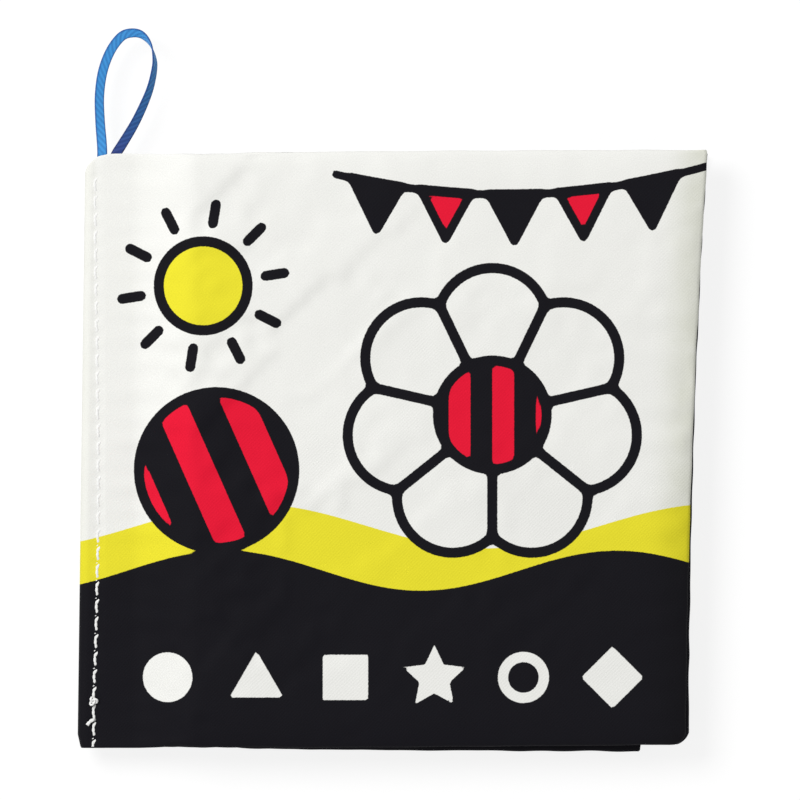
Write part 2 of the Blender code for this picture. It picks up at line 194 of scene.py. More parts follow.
# The knot, and the cut end beside it as (x, y, out of the cloth) in millimetres
KNOT_X = -65.75 * MM
KNOT_Y = -56.4 * MM
KNOT_WIDTH = 0.288 * MM
KNOT_HEIGHT = 0.336 * MM
KNOT_TURN = math.radians(35)
KNOT_POINTS = 49
CUT_END_PARTS = 4
CUT_END_ROUTE = (
    (-65.45, -60.5, -0.30), (-65.75, -60.6, 0.30), (-66.30, -60.9, 0.42), (-66.80, -61.4, 0.36),
    (-67.10, -61.8, 0.28),
)

# Cloth simulation that fills the leaves out
PUFF_FRAMES = 20
PUFF_CAP = 0.6 * MM
PUFF_SETTINGS = {
    "quality": 6,
    "mass": 0.002,
    "tension_stiffness": 5.0,
    "compression_stiffness": 5.0,
    "shear_stiffness": 2.0,
    "bending_stiffness": 0.02,
    "use_internal_springs": True,
    "internal_spring_max_length": 6.0 * MM,
    "internal_spring_max_diversion": math.radians(30),
    "internal_tension_stiffness": 5.0,
    "internal_compression_stiffness": 5.0,
    "use_pressure": True,
    "uniform_pressure_force": 1.0,
    "shrink_min": -0.015,
    "vertex_group_mass": "held",
}

# Joining of the pieces
CREASE_ANGLE = math.radians(70)
MERGED = (bpy.ops.mesh.remove_doubles, {"threshold": 1e-6})
CLOSED = (bpy.ops.mesh.fill_holes, {"sides": 0})
OUTWARD = (bpy.ops.mesh.normals_make_consistent, {"inside": False})


@dataclass
class Leaf:
    """The outline of one leaf and the heights of its faces."""

    upper_node: str
    place: int
    seed: int
    fold_x: float
    tab_low: float
    tab_high: float
    lean: float
    hollow: float = 1.0 * MM
    top_rise: float = 0.3 * MM
    bottom_rise: float = 0.7 * MM
    bottom_corner: float = SOFT_CORNER
    crown: float = 0.0


@dataclass
class Around:
    """How far in each corner of a leaf's grid lies, and the planes that its neighbours leave it."""

    x_in: np.ndarray
    edge: np.ndarray
    rise: np.ndarray
    floor: np.ndarray
    ceiling: np.ndarray


@dataclass
class Unevenness:
    """One kind of random waves in the cloth, and how far in from an edge they reach."""

    spacing: float
    height: float
    slant: float
    seed: int
    reach: float = 0.0


BACK_COVER = Leaf(
    "back_cover_inner_cloth", place=0, seed=11, fold_x=SPINE_X, tab_low=outer_fold_low.z,
    tab_high=lining_fold_low.z + CLOTH, lean=2.5 * MM,
)
SECOND_LEAF = Leaf(
    "second_leaf_front_cloth", place=1, seed=12, fold_x=pages_fold_low.x, tab_low=pages_fold_low.z,
    tab_high=inner_fold_low.z + CLOTH, lean=6.0 * MM, hollow=0.3 * MM, bottom_rise=-1.05 * MM,
    bottom_corner=SHARP_CORNER,
)
FIRST_LEAF = Leaf(
    "first_leaf_front_cloth", place=2, seed=13, fold_x=pages_fold_low.x,
    tab_low=inner_fold_high.z - CLOTH, tab_high=pages_fold_high.z, lean=2.1 * MM,
)
FRONT_COVER = Leaf(
    "front_cover_outer_cloth", place=3, seed=14, fold_x=SPINE_X, tab_low=lining_fold_high.z - CLOTH,
    tab_high=outer_fold_high.z, lean=2.5 * MM, top_rise=0.9 * MM, crown=COVER_CROWN,
)

# The wandering outline of every leaf, then the creases of the front cover
FORE_WANDER = Unevenness(11 * MM, 0.07 * MM, slant=0.0, seed=0, reach=5 * MM)
END_WANDER = Unevenness(11 * MM, 0.06 * MM, slant=0.0, seed=20, reach=4 * MM)
FORE_CREASES = Unevenness(7.5 * MM, 0.20 * MM, slant=0.3, seed=31, reach=9 * MM)
END_CREASES = Unevenness(8.5 * MM, 0.10 * MM, slant=0.3, seed=32, reach=6 * MM)
BROAD_CREASES = Unevenness(34 * MM, 0.16 * MM, slant=1.0, seed=33)
FINE_CREASES = Unevenness(13 * MM, 0.04 * MM, slant=0.6, seed=34)
SPINE_CREASES = Unevenness(6.5 * MM, 0.10 * MM, slant=0.2, seed=35, reach=7 * MM)
SPINE_CREASES_X = RISE_START_X + 0.2 * RISE_LENGTH
CREASES_IN = 3 * MM
WAVES = 7


def smooth(share):
    share = np.clip(share, 0.0, 1.0)
    return share * share * (3 - 2 * share)


def roundness(distance, reach):
    """From 0 at an edge to 1 this far in, as a quarter of an ellipse."""
    short = 1 - np.minimum(distance / reach, 1.0)
    return np.sqrt(1 - short * short)


def risen(x):
    """From 0 on a leaf's thin tab beside the spine to 1 where the leaf has its full thickness."""
    return smooth((x - RISE_START_X) / RISE_LENGTH)


def unevenness(along, across, kind, leaf_seed=0):
    """A smooth random field, from waves of like length in all directions."""
    draw = np.random.default_rng(kind.seed + leaf_seed)
    total = np.zeros_like(along)
    for _ in range(WAVES):
        turn = draw.uniform(0, math.tau)
        length = kind.spacing * draw.uniform(0.7, 1.5)
        phase = draw.uniform(0, math.tau)
        run = along * math.cos(turn) + kind.slant * across * math.sin(turn)
        total = total + np.sin(run * math.tau / length + phase)
    return kind.height * total / math.sqrt(WAVES)


def refined(values, parts):
    """Values along the first axis, with each gap divided in parts along a smooth curve."""
    padded = np.concatenate([values[:1], values, values[-1:]])
    a, b, c, d = padded[:-3], padded[1:-2], padded[2:-1], padded[3:]
    rows = []
    for step in range(parts):
        t = step / parts
        twice = 2 * b + (c - a) * t + (2 * a - 5 * b + 4 * c - d) * t**2 + (3 * b - a - 3 * c + d) * t**3
        rows.append(HALF * twice)
    mixed = np.stack(rows, axis=1).reshape((-1,) + values.shape[1:])
    return np.concatenate([mixed, values[-1:]])


def evenly(start, end):
    """Distances from start to end, about a cage step apart."""
    return np.linspace(start, end, round((end - start) / CAGE_STEP) + 1)


def across_places(leaf):
    """Distances from the tab's start to the fore edge, at the page's middle."""
    fore = fore_edge(leaf, 0.0) - TAB_START_X
    tab = np.linspace(0, TAB_LENGTH, TAB_COLUMNS)
    rest = evenly(TAB_LENGTH, fore - RIM_STEPS[-1])
    return np.concatenate([tab[:-1], rest[:-1], fore - RIM_STEPS[::-1]])


def up_shares():
    """Shares of the page's height, close together at both edges."""
    height = PAGE_TOP_Y - PAGE_LOW_Y
    middle = evenly(RIM_STEPS[-1], height - RIM_STEPS[-1])
    return np.concatenate([RIM_STEPS[:-1], middle[:-1], height - RIM_STEPS[::-1]]) / height


def page_rows(leaf, x, fore_x, up):
    """Lowest and highest y of a leaf at each x, and how far from its bottom and its nearer end
    each row lies."""
    out = np.clip((x - TAB_START_X) / (fore_x - TAB_START_X), 0.0, None)
    from_fold = np.maximum(x - leaf.fold_x, 0.0)
    corner_drop = SPINE_CORNER_DROP * (1 - roundness(from_fold, SPINE_CORNER_WIDTH))
    low = PAGE_LOW_Y + leaf.bottom_rise * out
    high = PAGE_TOP_Y + leaf.top_rise * out - corner_drop
    from_low = up * (high - low)
    return low, high, from_low, np.minimum(from_low, (1 - up) * (high - low))


def drawn_round(x_in, y_in, radius):
    """Distances in from two edges that meet in a corner, drawn onto the corner's arc."""
    along = np.maximum(radius - x_in, 0.0)
    across = np.maximum(radius - y_in, 0.0)
    inside = (along > 0) & (across > 0)
    reach = np.maximum(along, across) / np.maximum(np.hypot(along, across), TINY)
    return (
        np.where(inside, radius - along * reach, x_in),
        np.where(inside, radius - across * reach, y_in),
    )


def seam_drawn(distance):
    """Distances from an edge, with the seam itself pulled a little way in between its two lips."""
    return distance + SEAM_INSET * np.clip(1 - distance / SEAM_MOUTH, 0.0, 1.0)


def fore_edge(leaf, level):
    """Where a leaf's fore edge runs, from its bottom at level -1 to its top at level 1."""
    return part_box(leaf.upper_node)[1].x + leaf.lean * (level - 1) + leaf.hollow * (level**2 - 1)


def leaf_faces(leaf, across, up):
    """A leaf's smooth lower and upper cloth, each as columns by rows by (x, y, z), and what lies
    around their corners."""
    across, up = across[:, None], up[None, :]
    level = 2 * up - 1
    fore_middle = fore_edge(leaf, 0.0)
    span = fore_middle - TAB_START_X
    x_in = (span - across) + 0.0 * level
    x = TAB_START_X + across + (fore_edge(leaf, level) - fore_middle) * (across / span) ** 2
    low, high, _, edge = page_rows(leaf, x, fore_middle, up)
    corner = np.where(up > HALF, SHARP_CORNER, leaf.bottom_corner)
    round_x, round_y = drawn_round(x_in, edge, corner)
    x = x - (seam_drawn(round_x) - x_in)
    inset = seam_drawn(round_y)
    y = np.where(up > HALF, high - inset, low + inset)
    rise = risen(x)
    fullness = rise * roundness(x_in, EDGE_ROLL) * roundness(edge, EDGE_ROLL)
    tab_half = (leaf.tab_high - leaf.tab_low) * HALF
    swelling = LEAF_THICKNESS * HALF - tab_half
    half = (tab_half + fullness * swelling) * roundness(x_in, LIP) * roundness(edge, LIP)
    tab_middle = (leaf.tab_high + leaf.tab_low) * HALF
    middle = tab_middle + rise * (leaf.place * LEAF_PITCH + LEAF_THICKNESS * HALF - tab_middle)
    dome = half / half.max() * rise * smooth(2 * (1 - across / span)) * (1 - level**2)
    lower = np.stack([x, y, middle - half], axis=-1)
    upper = np.stack([x, y, middle + half + leaf.crown * dome], axis=-1)
    reach = tab_half + rise * swelling
    return lower, upper, Around(x_in, edge, rise, middle - reach, middle + reach)


def worn(leaf, lower, upper, around):
    """Small unevenness of hand-turned seams: the outline wanders."""
    x, y = upper[..., 0], upper[..., 1]
    near_fore = np.exp(-around.x_in / FORE_WANDER.reach) * around.rise
    near_ends = np.exp(-around.edge / END_WANDER.reach)
    shift_x = unevenness(y, x, FORE_WANDER, leaf.seed) * near_fore
    shift_y = unevenness(x, y, END_WANDER, leaf.seed) * near_ends
    for face in (upper, lower):
        face[..., 0] += shift_x
        face[..., 1] += shift_y


def creases(x, y, around):
    """Heights of the soft creases on the front cover's face."""
    fore = unevenness(y, x, FORE_CREASES) * np.exp(-around.x_in / FORE_CREASES.reach)
    ends = unevenness(x, y, END_CREASES) * np.exp(-around.edge / END_CREASES.reach)
    all_over = unevenness(x, y, BROAD_CREASES) + unevenness(x, y, FINE_CREASES)
    beside_spine = np.exp(-(((x - SPINE_CREASES_X) / SPINE_CREASES.reach) ** 2))
    spine = unevenness(y, x, SPINE_CREASES) * beside_spine
    inside = smooth(np.minimum(around.x_in, around.edge) / CREASES_IN)
    return (fore + ends + all_over * around.rise) * inside * around.rise + spine * inside


def spine_path(bottom_x, low_z, high_z, fold_x, top_x):
    """From the end of the lower arm, round the fold, to the end of the upper arm, as rows of
    (x, z, out x, out z)."""
    radius = min(FOLD_RADIUS, (high_z - low_z) * HALF)
    centre_x = fold_x + radius
    path = []
    for share in np.linspace(0, 1, ARM_STEPS)[:-1]:
        path.append((bottom_x + share * (centre_x - bottom_x), low_z, 0.0, -1.0))
    for start, end, centre_z in ((-90, -180, low_z + radius), (180, 90, high_z - radius)):
        for angle in np.radians(np.linspace(start, end, FOLD_STEPS)):
            c, s = math.cos(angle), math.sin(angle)
            path.append((centre_x + radius * c, centre_z + radius * s, c, s))
    steps = round((top_x - centre_x) / NEAR_STEP)
    for share in np.linspace(0, 1, steps + 1)[1:]:
        path.append((centre_x + share * (top_x - centre_x), high_z, 0.0, 1.0))
    return np.array(path)


def seam_x(y):
    """Where the spine's seam runs, which isn't quite straight."""
    route = np.array(SEAM_ROUTE) * MM
    return np.interp(y, route[:, 1], route[:, 0])


def seam_dip(x, y):
    """How deep the spine's seam draws level cloth in, deepest at its needle holes."""
    hole = HALF + HALF * np.cos((y - STITCH_START_Y) / STITCH_PITCH * math.tau)
    away = (x - seam_x(y)) / SEAM_DIP_WIDTH
    return SEAM_DIP * (SEAM_DIP_BETWEEN + (1 - SEAM_DIP_BETWEEN) * hole**2) * np.exp(-(away**2))


def spine_faces(leaf, path, thickness, up, dimpled):
    """Corners of the inner and outer side of a folded spine, each as columns by rows by (x, y, z)."""
    up = up[None, :]
    level = 2 * up - 1
    x, z, out_x, out_z = (path[:, None, k] + 0.0 * level for k in range(4))
    low, high, from_low, edge = page_rows(leaf, x, fore_edge(leaf, 1.0), up)
    inset = seam_drawn(edge)
    y = np.where(up > HALF, high - inset, low + inset)
    leaning = smooth((HINGE_X - BEND - x) / SPINE_LEAN_REACH)
    foot = np.clip(1 - from_low / SPINE_FOOT_HEIGHT, 0, 1)
    x = x + (SPINE_LEAN * level + SPINE_FOOT_INSET * foot) * leaning
    if dimpled:
        z = z - out_z * seam_dip(x, y) * (np.abs(out_z) > SEAM_DIP_LEAST_LEVEL)
    middle_in = thickness * HALF
    reach = middle_in * roundness(edge, LIP)
    faces = []
    for offset in (-reach - middle_in, reach - middle_in):
        faces.append(np.stack([x + out_x * offset, y, z + out_z * offset], axis=-1))
    return faces


# Making and joining the grids

def travelled(points, axis=0):
    """How far along the lines of this axis each point lies."""
    steps = np.linalg.norm(np.diff(points, axis=axis), axis=-1)
    start = np.zeros_like(points.take([0], axis)[..., 0])
    return np.concatenate([start, np.cumsum(steps, axis=axis)], axis=axis)


def directions(line):
    """The way a line runs at each of its points."""
    along = np.gradient(line, axis=0)
    return along / np.linalg.norm(along, axis=1, keepdims=True)


def weave_places(places):
    """Coordinates in metres along the cloth itself, as it was before it was shaped."""
    along, over = travelled(places, 0), travelled(places, 1)
    middle = [places.shape[1] // 2]
    return np.stack([along[:, middle] + 0.0 * along, over - over[:, middle]], axis=-1)


def points_of(mesh):
    places = np.empty(len(mesh.vertices) * 3)
    mesh.vertices.foreach_get("co", places)
    return places.reshape(-1, 3)


def cloth_grid(places, upward, layers, weave=None):
    """A grid primitive with its corners moved to places, its print and its weave's coordinates."""
    if weave is None:
        weave = weave_places(places)
    columns, rows = places.shape[:2]
    bpy.ops.mesh.primitive_grid_add(x_subdivisions=columns - 1, y_subdivisions=rows - 1, size=2)
    piece = bpy.context.object
    mesh = piece.data
    flat = points_of(mesh)
    column = np.rint((flat[:, 0] + 1) * HALF * (columns - 1)).astype(int)
    row = np.rint((flat[:, 1] + 1) * HALF * (rows - 1)).astype(int)
    mesh.vertices.foreach_set("co", places[column, row].ravel())
    corners = np.empty(len(mesh.loops), int)
    mesh.loops.foreach_get("vertex_index", corners)
    for name, values in layers.items():
        layer = mesh.attributes.new(name, "FLOAT", "CORNER")
        layer.data.foreach_set("value", values[column, row][corners].astype(np.float32))
    while mesh.uv_layers:
        mesh.uv_layers.remove(mesh.uv_layers[0])
    layer = mesh.uv_layers.new(name="weave")
    layer.data.foreach_set("uv", weave[column, row][corners].astype(np.float32).ravel())
    if not upward:
        mesh.flip_normals()
    return piece


def select_only(*pieces):
    """Select these pieces alone, the first one active."""
    for piece in bpy.context.selected_objects:
        piece.select_set(False)
    for piece in pieces:
        piece.select_set(True)
    bpy.context.view_layer.objects.active = pieces[0]


def edited(piece, *steps):
    """Run mesh operators, each with its settings, over a whole piece."""
    select_only(piece)
    bpy.ops.object.mode_set(mode="EDIT")
    bpy.ops.mesh.select_all(action="SELECT")
    for operator, settings in steps:
        operator(**settings)
    bpy.ops.object.mode_set(mode="OBJECT")


def sewn(name, sheets):
    """Cloth grids joined where their rims meet, with any open end closed."""
    select_only(*sheets)
    bpy.ops.object.join()
    piece = bpy.context.object
    piece.name = name
    edited(piece, MERGED, CLOSED)
    piece.data.shade_smooth()
    piece.data.set_sharp_from_angle(angle=CREASE_ANGLE)
    return piece


# Printed shapes, as signed distances in millimetres: below zero is inside

OUTLINE = 2.3
PRINT_CORNER = 0.9
INK_OVERLAP = 1.0
NOWHERE = 1000.0
PETALS = 7
PETALS_OUT = 0.62
PETAL_SIZE = 0.38
SPOKE_START, SPOKE_END = 0.35, 0.80
MIDDLE_SIZE = 0.37
RAYS = 10
STRING_LOW_X, STRING_LOW_Y = 27, 57.5
STRING_REACH = 40
STRING_SAG = 5
PAGE_MIDDLE_X = 3


def disc(x, y, cx, cy, radius):
    return np.hypot(x - cx, y - cy) - radius


def spot(cx, cy, reach, degrees):
    """The point this far from a centre, in this direction."""
    angle = math.radians(degrees)
    return cx + reach * math.cos(angle), cy + reach * math.sin(angle)


def bar(x, y, start, end, radius):
    """A line with round ends."""
    (ax, ay), (bx, by) = start, end
    along = ((x - ax) * (bx - ax) + (y - ay) * (by - ay)) / ((bx - ax) ** 2 + (by - ay) ** 2)
    along = np.clip(along, 0, 1)
    return np.hypot(x - ax - along * (bx - ax), y - ay - along * (by - ay)) - radius


def polygon(x, y, corners):
    """A flat shape with straight sides."""
    nearest = np.full(np.shape(x), np.inf)
    inside = np.zeros(np.shape(x), bool)
    for start, end in zip(corners, corners[1:] + corners[:1]):
        nearest = np.minimum(nearest, bar(x, y, start, end, 0.0))
        (ax, ay), (bx, by) = start, end
        if ay != by:
            inside ^= ((ay > y) != (by > y)) & (x < (bx - ax) * (y - ay) / (by - ay) + ax)
    return np.where(inside, -nearest, nearest)


def regular(x, y, cx, cy, radius, sides, turn=90, inner=None):
    """A regular polygon, or a star whose inner corners lie at this share of the radius."""
    reaches = [radius] if inner is None else [radius, radius * inner]
    count = sides * len(reaches)
    corners = []
    for k in range(count):
        corners.append(spot(cx, cy, reaches[k % len(reaches)], turn + 360 * k / count))
    return polygon(x, y, corners)


def line(distance, width):
    """A line of this width along a shape's outline."""
    return np.abs(distance) - width * HALF


def all_of(*shapes):
    """Where shapes overlap, with corners rounded as ink leaves them."""
    joined = shapes[0]
    for shape in shapes[1:]:
        near = np.maximum(PRINT_CORNER - np.abs(joined - shape), 0.0)
        joined = np.maximum(joined, shape) + near**2 / (4 * PRINT_CORNER)
    return joined


def any_of(*shapes):
    """Shapes together, with their inner corners filled in as ink leaves them."""
    return -all_of(*[-shape for shape in shapes])


def wave(x, y, middle, height, length, shift):
    """Below a wavy line."""
    angle = math.tau * (x - shift) / length
    slope = height * math.tau / length * np.cos(angle)
    return (y - middle - height * np.sin(angle)) / np.sqrt(1 + slope**2)


def stripes(x, width, shift=0.0):
    """Bands of this width with gaps as wide."""
    place = (x - shift) / (2 * width) % 1
    return (np.abs(place - HALF) - HALF * HALF) * 2 * width


def ink_layers(x, black=NOWHERE, red=NOWHERE, yellow=NOWHERE):
    """The three inks by name, in metres, where an ink that isn't given lies nowhere."""
    inks = {"black_ink": black, "red_ink": red, "yellow_ink": yellow}
    return {name: (distance + 0 * x) * MM for name, distance in inks.items()}


def sagging(x):
    """Height of the pennants' string."""
    return STRING_LOW_Y + STRING_SAG * ((x - STRING_LOW_X) / STRING_REACH) ** 2


def flower_parts(x, y, cx, cy, radius):
    """A flower's outline, its round middle and the lines between its petals."""
    petals = []
    spokes = []
    for k in range(PETALS):
        degrees = 90 + 360 * k / PETALS
        petals.append(disc(x, y, *spot(cx, cy, PETALS_OUT * radius, degrees), PETAL_SIZE * radius))
        degrees += 180 / PETALS
        start = spot(cx, cy, SPOKE_START * radius, degrees)
        end = spot(cx, cy, SPOKE_END * radius, degrees)
        spokes.append(bar(x, y, start, end, OUTLINE * HALF))
    outline = any_of(*petals, disc(x, y, cx, cy, PETALS_OUT * radius))
    return outline, disc(x, y, cx, cy, MIDDLE_SIZE * radius), any_of(*spokes)


def cover_print(x, y):
    """A flower, a striped ball, a sun and pennants over wavy ground."""
    yellow_ground = wave(x, y, middle=-17, height=5, length=104, shift=-56)
    black_ground = wave(x, y, middle=-27, height=4.5, length=88, shift=30)

    flower_x = 24
    flower, middle, spokes = flower_parts(x, y, flower_x, 8, 33)
    middle_bands = stripes(x, 4.9, flower_x + 2.45)

    ball_x, ball_y = -38, -4.4
    ball = disc(x, y, ball_x, ball_y, 17.5)
    tilt = math.radians(24)
    ball_across = (x - ball_x) * math.cos(tilt) + (y - ball_y) * math.sin(tilt)
    ball_bands = stripes(ball_across, 7.0, -3.5)

    sun_place = (-41, 37)
    sun = disc(x, y, *sun_place, 10)
    rays = []
    for k in range(RAYS):
        degrees = 9 + 360 * k / RAYS
        start, end = spot(*sun_place, 14.2, degrees), spot(*sun_place, 18.5, degrees)
        rays.append(bar(x, y, start, end, OUTLINE * HALF))

    flags = []
    for flag_x in (-2, 13.5, 29, 44.5, 60):
        left, right = flag_x - 5.6, flag_x + 5.6
        tip = (flag_x, sagging(flag_x) - 10.5)
        flags.append(polygon(x, y, [(left, sagging(left)), (right, sagging(right)), tip]))
    string = all_of(np.abs(y - sagging(x)) - OUTLINE * 0.4, -12 - x)

    white_shapes = any_of(
        disc(x, y, -49, -51, 5.6),
        regular(x, y, -29, -52, 7.0, 3),
        regular(x, y, -9, -51, 7.2, 4, 45),
        regular(x, y, 11, -51, 7.4, 5, inner=0.48),
        line(disc(x, y, 31, -51, 4.6), 2.3),
        regular(x, y, 51, -51, 7.0, 4, 0),
    )

    in_front = any_of(flower, ball)
    black = any_of(
        all_of(black_ground, -in_front, -white_shapes), all_of(line(flower, OUTLINE), -middle),
        all_of(spokes, flower, -middle), line(middle, OUTLINE), all_of(middle, middle_bands),
        line(ball, OUTLINE), all_of(ball, ball_bands), line(sun, OUTLINE), *rays, *flags[::2],
        line(any_of(*flags), OUTLINE * 0.85), string,
    )
    red = any_of(middle, ball, *flags[1::2])
    yellow = any_of(all_of(yellow_ground, -black_ground - INK_OVERLAP, -in_front), sun)
    layers = ink_layers(x, black, red, yellow)
    # Besides the inks: painted shade toward the fore edge and beside the fold
    return {**layers, "painted_edge_shade": painted_edge_shade_share(x * MM, y * MM)}


def painted_edge_shade_share(x, y):
    """Painted shade: how far the front cover's cloth is greyed toward its fore edge, where the face
    rounds away from the light, and faintly beside its fold. By the fore edge it stands partly for the
    seam's folded-in edge showing through.
    """
    level = (2 * y - PAGE_TOP_Y - PAGE_LOW_Y) / (PAGE_TOP_Y - PAGE_LOW_Y)
    beside_fore = smooth(1 - (fore_edge(FRONT_COVER, level) - x) / PAINTED_SHADE_FORE_REACH)
    beside_fold = smooth(1 - (x - SPINE_X - SPINE_LEAN * level) / PAINTED_SHADE_FOLD_REACH)
    return np.maximum(beside_fore, PAINTED_SHADE_FOLD_SHARE * beside_fold)


def page_frame(x, y):
    """Inside the black border that inner pages have."""
    return np.maximum(np.abs(x - PAGE_MIDDLE_X) - 55, np.abs(y) - 56)


def ring_print(x, y):
    """Rings round a red disc."""
    away = np.hypot(x - PAGE_MIDDLE_X, y)
    rings = all_of(stripes(away, 7, 3.5), away - 49)
    return ink_layers(x, any_of(-page_frame(x, y), rings), red=away - 11)


def stripe_print(x, y):
    page = page_frame(x, y)
    return ink_layers(x, any_of(-page, all_of(page, stripes(x, 11, 3))))


def dot_print(x, y):
    """Rows of white dots with a yellow star among them."""
    pitch = 18
    dots = np.hypot((x - PAGE_MIDDLE_X) % pitch - pitch * HALF, y % pitch - pitch * HALF)
    dots = all_of(dots - 6, page_frame(x, y))
    star = regular(x, y, PAGE_MIDDLE_X, 0, 24, 5, inner=0.5)
    white = all_of(dots, -star + 4)
    return ink_layers(x, all_of(-white, -star), yellow=star)


def check_print(x, y):
    """A board of black and white squares."""
    side = 18.7
    across = stripes(x - PAGE_MIDDLE_X, side, side * HALF)
    over = stripes(y, side, side * HALF)
    sign = np.where((across < 0) == (over < 0), -1.0, 1.0)
    checks = sign * np.minimum(np.abs(across), np.abs(over))
    return ink_layers(x, any_of(-page_frame(x, y), checks))


def zigzag_print(x, y):
    """Red, white and black zigzags."""
    reach = 22
    fold = np.abs((x - PAGE_MIDDLE_X) / reach % 2 - 1) * reach
    place = (y + fold) * math.sqrt(HALF)
    black = any_of(-page_frame(x, y), stripes(place, 8))
    return ink_layers(x, black, red=stripes(place, 24, 8))


def star_print(x, y):
    """A red star within a yellow one."""
    star = regular(x, y, PAGE_MIDDLE_X, 0, 48, 5, inner=0.55)
    small = regular(x, y, PAGE_MIDDLE_X, 0, 24, 5, inner=0.55)
    return ink_layers(x, any_of(-page_frame(x, y), line(star, OUTLINE)), small, star)


def back_print(x, y):
    """Three striped discs above the same wavy ground as the front."""
    yellow = wave(x, y, middle=-25, height=4.5, length=96, shift=-34)
    ground = wave(x, y, middle=-33, height=4.0, length=78, shift=8)
    discs = [disc(x, y, PAGE_MIDDLE_X + 38 * k, 22, 15) for k in (-1, 0, 1)]
    bands = stripes(x - PAGE_MIDDLE_X, 3.8, 1.9)
    black = any_of(ground, *[line(shape, OUTLINE) for shape in discs], all_of(discs[1], bands))
    return ink_layers(x, black, any_of(discs[0], discs[1]), any_of(yellow, discs[2]))


# Leaves

def puffed(faces):
    """How far the padding's pressure moves the corners of a leaf's coarse lower and upper cloth."""
    sheets = []
    for places, upward in zip(faces, (False, True)):
        sheets.append(cloth_grid(places, upward, {}))
    cage = sewn("cage", sheets)
    rest = points_of(cage.data)
    held = cage.vertex_groups.new(name="held")
    for index, free in enumerate(risen(rest[:, 0])):
        held.add([index], 1 - free, "REPLACE")
    modifier = cage.modifiers.new("Cloth", "CLOTH")
    for key, value in PUFF_SETTINGS.items():
        setattr(modifier.settings, key, value)
    modifier.settings.effector_weights.gravity = 0.0
    modifier.collision_settings.use_collision = False
    modifier.point_cache.frame_start = 1
    modifier.point_cache.frame_end = PUFF_FRAMES
    for frame_number in range(1, PUFF_FRAMES + 1):
        bpy.context.scene.frame_set(frame_number)
    shaped = cage.evaluated_get(bpy.context.evaluated_depsgraph_get())
    moved = points_of(shaped.data) - rest
    tree = KDTree(len(rest))
    for index, place in enumerate(rest):
        tree.insert(place, index)
    tree.balance()
    moves = []
    for face in faces:
        nearest = [tree.find(place)[1] for place in face.reshape(-1, 3)]
        moves.append(moved[nearest].reshape(face.shape))
    bpy.context.scene.frame_set(1)
    bpy.data.objects.remove(cage)
    return moves


def untilted(faces, moves):
    """The moves without the leaf's growth and tilt as a whole."""
    places = np.concatenate([face.reshape(-1, 3) for face in faces])
    shifts = np.concatenate([move.reshape(-1, 3) for move in moves])
    x, y = places[:, 0], places[:, 1]
    free = x > RISE_START_X + RISE_LENGTH
    terms = np.stack([np.ones_like(x), x, y, x * x, y * y, x * y], axis=-1)
    fit = np.linalg.lstsq(terms[free], shifts[free], rcond=None)[0]
    return (shifts - terms @ fit).reshape((2,) + faces[0].shape)


def capped(moves):
    """Moves drawn back so that none is longer than the cap, the long ones ever less."""
    length = np.linalg.norm(moves, axis=-1, keepdims=True)
    return moves * PUFF_CAP * np.tanh(length / PUFF_CAP) / np.maximum(length, TINY)


def softly_above(height, least):
    """Heights kept above the least, with a soft bend where they come near it."""
    spare = (height - least) / MOST_SUNK
    return least + MOST_SUNK * np.where(spare > 1, spare, np.exp(np.minimum(spare, 1) - 1))


def filled_leaf(leaf, parts, start_x):
    """A leaf's finely divided lower and upper cloth, filled out by its padding, from this x on,
    and the shares of the height of its rows."""
    coarse_across, coarse_up = across_places(leaf), up_shares()
    whole = refined(coarse_across, parts)
    kept = whole > NEAR_END
    near = np.arange(start_x - TAB_START_X, NEAR_END - NEAR_GAP, NEAR_STEP)
    up = refined(coarse_up, parts)
    lower, upper, around = leaf_faces(leaf, np.concatenate([near, whole[kept]]), up)
    coarse = leaf_faces(leaf, coarse_across, coarse_up)[:2]
    lowest_top = upper[..., 2] - MOST_SUNK
    highest_under = lower[..., 2] + MOST_SUNK
    free = risen(lower[..., :1])
    for face, move in zip((lower, upper), untilted(coarse, puffed(coarse))):
        finer = refined(refined(move, parts).swapaxes(0, 1), parts).swapaxes(0, 1)
        still = np.zeros((len(near),) + finer.shape[1:])
        face += capped(np.concatenate([still, finer[kept]])) * free
    worn(leaf, lower, upper, around)
    inside = np.minimum(around.x_in, around.edge) > 0
    low_z, high_z = lower[..., 2], upper[..., 2]
    low_z = np.where(inside, np.maximum(low_z, around.floor), low_z)
    if leaf is FRONT_COVER:
        high_z = high_z + creases(upper[..., 0], upper[..., 1], around)
    else:
        high_z = np.where(inside, np.minimum(high_z, around.ceiling), high_z)
    high_z = softly_above(high_z, lowest_top)
    low_z = -softly_above(-low_z, -highest_under)
    middle = (high_z + low_z) * HALF
    pinched = inside & (high_z - low_z < LEAST_THICKNESS)
    upper[..., 2] = np.where(pinched, middle + LEAST_THICKNESS * HALF, high_z)
    lower[..., 2] = np.where(pinched, middle - LEAST_THICKNESS * HALF, low_z)
    return (lower, upper), up


def after_fold(fold, faces):
    """A leaf's lower and upper cloth, each running on from its side of the fold."""
    return [np.concatenate([before[:-1], face]) for before, face in zip(fold, faces)]


def add_cloth(name, faces, upper_print, lower_print, bodies, bend, replaced):
    """The two printed sheets of a leaf, sewn together. Where no bend is given, the cloth rides on the
    first of its bodies; otherwise its transform is applied and it rides on none."""
    lower, upper = faces
    sheets = []
    for places, upward, design in ((upper, True, upper_print), (lower, False, lower_print)):
        layers = design(places[..., 0] / MM, places[..., 1] / MM)
        sheets.append(cloth_grid(places, upward, layers))
    piece = sewn(name, sheets)
    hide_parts(*replaced)
    if bend is None:
        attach(piece, bodies[0])
    else:
        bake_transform(piece)
    piece.data.materials.append(cloth)


